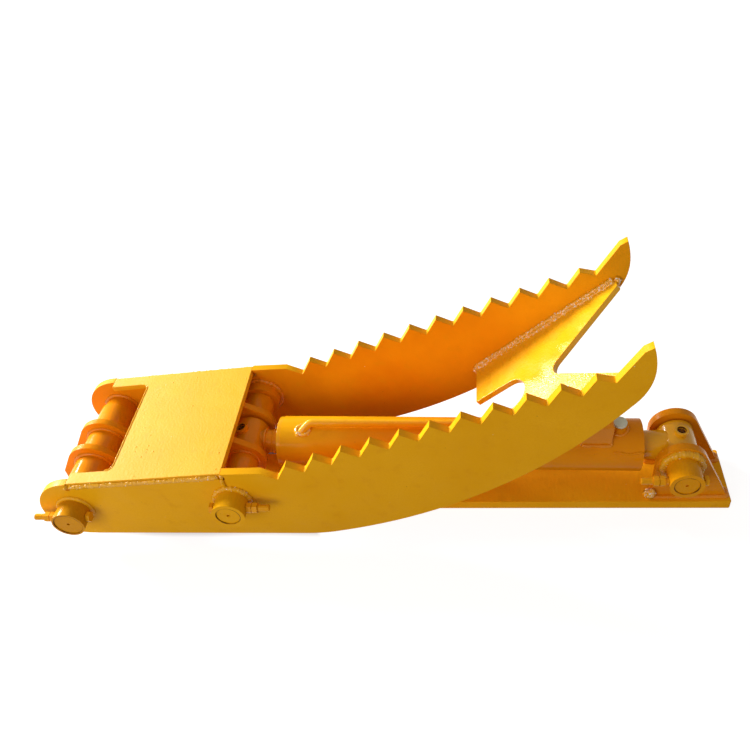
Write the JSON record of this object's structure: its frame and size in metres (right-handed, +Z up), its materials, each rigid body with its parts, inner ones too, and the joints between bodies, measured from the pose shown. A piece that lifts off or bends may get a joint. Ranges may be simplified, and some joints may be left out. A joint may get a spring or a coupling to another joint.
{
  "type": "hydraulic excavator thumb",
  "caption": "Weld-on hydraulic thumb for an excavator arm: two serrated claw plates on a pivot bracket, swung by a cylinder.",
  "frame": {"origin": "on the underside of the base plate, at mid width, straight below the main pivot axis", "axes": "+X along the thumb towards the claws, +Y across the width to the far tine, +Z up from the weld-on base"},
  "size_m": [1.346, 0.344, 0.4867],
  "materials": {
    "yellow_paint": "gloss enamel over steel plate, light orange peel",
    "painted_bolts": "gloss enamel over zinc-plated bolts and nuts",
    "bronze": "turned bearing bronze",
    "chromed_rod": "hard chrome, painted over at the exposed neck",
    "machined_steel": "turned steel",
    "seal_rubber": "matt seal rubber",
    "plug_plastic": "pale plastic shipping plug"
  },
  "bodies": {
    "base": {"base_plate": "yellow_paint", "pivot_lug_far": "yellow_paint", "pivot_lug_near": "yellow_paint", "pivot_tube": "yellow_paint", "pivot_bush_far": "bronze", "pivot_bush_near": "bronze", "cylinder_lug_far": "yellow_paint", "cylinder_lug_near": "yellow_paint", "cylinder_lug_boss_near": "yellow_paint", "cylinder_base_pin": "yellow_paint", "base_pin_bolts": "painted_bolts", "base_pin_nuts": "painted_bolts"},
    "thumb": {"cover_plate": "yellow_paint", "inner_lug_far": "yellow_paint", "inner_lug_near": "yellow_paint", "main_pivot_pin": "yellow_paint", "pivot_boss_near": "yellow_paint", "pivot_inner_boss_far": "yellow_paint", "pivot_inner_boss_near": "yellow_paint", "pivot_pin_bolts": "painted_bolts", "pivot_pin_nuts": "painted_bolts", "rod_pin_bolts": "painted_bolts", "rod_pin_boss_near": "yellow_paint", "rod_pin_end_far": "yellow_paint", "rod_pin_end_near": "yellow_paint", "rod_pin_inner_boss_far": "yellow_paint", "rod_pin_inner_boss_near": "yellow_paint", "rod_pin_nuts": "painted_bolts", "rod_pin_spacer_far": "yellow_paint", "rod_pin_spacer_near": "yellow_paint", "tine_far": "yellow_paint", "tine_near": "yellow_paint", "web_plate": "yellow_paint"},
    "barrel": {"barrel_tube": "yellow_paint", "barrel_end_cap": "yellow_paint", "barrel_eye": "yellow_paint", "barrel_eye_bush": "bronze", "barrel_grease_nipple": "yellow_paint", "gland": "yellow_paint", "wiper_seal": "seal_rubber", "rod_seal": "seal_rubber", "oil_pipe": "yellow_paint", "valve_block": "yellow_paint", "port_boss": "yellow_paint", "port_plug": "plug_plastic"},
    "rod": {"cylinder_rod": "chromed_rod", "piston": "machined_steel", "piston_seal": "seal_rubber", "piston_nut": "machined_steel", "rod_eye": "yellow_paint", "rod_eye_bush": "bronze", "rod_grease_nipple": "yellow_paint", "rod_pin_middle": "machined_steel"}
  },
  "joints": [
    {"name": "thumb_pivot", "type": "hinge", "parent": "base", "child": "thumb", "pos_m": [0, 0, 0.108], "axis": [0, -1, 0], "range_deg": [0, 90]},
    {"name": "barrel_swing", "type": "hinge", "parent": "base", "child": "barrel", "pos_m": [1.167, 0, 0.11], "axis": [0, 1, 0], "range_deg": [0, 13.46]},
    {"name": "rod_slide", "type": "slide", "parent": "barrel", "child": "rod", "axis": [-0.9996, 0, 0.0297], "range_m": [0, 0.3924]}
  ],
  "couplings": [
    {"joint": "barrel_swing", "follows": "thumb_pivot", "ratio": 0.1493},
    {"joint": "rod_slide", "follows": "thumb_pivot", "m_per_rad": 0.24952}
  ]
}
